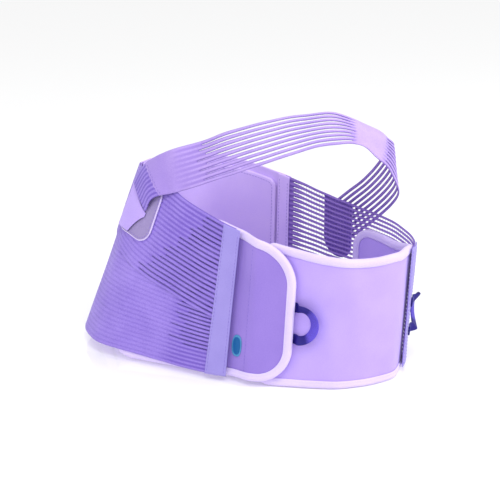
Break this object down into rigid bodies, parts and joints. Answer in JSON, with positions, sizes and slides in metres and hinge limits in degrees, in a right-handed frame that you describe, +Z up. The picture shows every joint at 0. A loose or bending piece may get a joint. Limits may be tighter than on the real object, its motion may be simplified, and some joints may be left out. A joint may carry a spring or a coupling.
{
  "type": "maternity support belt",
  "caption": "Wrap-around fabric support belt with ribbed elastic sides, padded closure tabs, pull loops and an over-belly strap, closed into a ring",
  "frame": {"origin": "middle of the base of the belt's box, on the surface it stands on", "axes": "+Z up, the closure at the front faces -Y, +X to the viewer's right seen from the front"},
  "size_m": [0.3248, 0.2932, 0.2681],
  "materials": {
    "panel": "brushed loop laminate",
    "binding": "folded edge tape",
    "tab": "brushed loop laminate",
    "elastic": "ribbed elastic",
    "tape": "woven tape",
    "back": "knitted laminate",
    "lining": "soft knit over foam",
    "strap": "ribbed elastic",
    "hook": "hook fastener backing",
    "loop": "satin webbing",
    "patch": "smooth blank patch"
  },
  "bodies": {
    "root": {"front_panel": "panel", "front_panel_binding": "binding", "closure_tab": "tab", "closure_tab_binding": "binding", "right_elastic": "elastic", "left_elastic": "elastic", "left_cross_elastic": "elastic", "left_seam_tape": "tape", "right_seam_tape": "tape", "back_panel": "back", "back_lining": "lining", "back_right_seam_tape": "tape", "back_left_seam_tape": "tape", "strap_right_tab": "hook", "strap_left_tab": "hook", "strap_left_flap": "strap", "belly_strap": "strap", "left_pull_loop": "loop", "right_pull_loop": "loop", "blank_patch": "patch"}
  },
  "joints": []
}
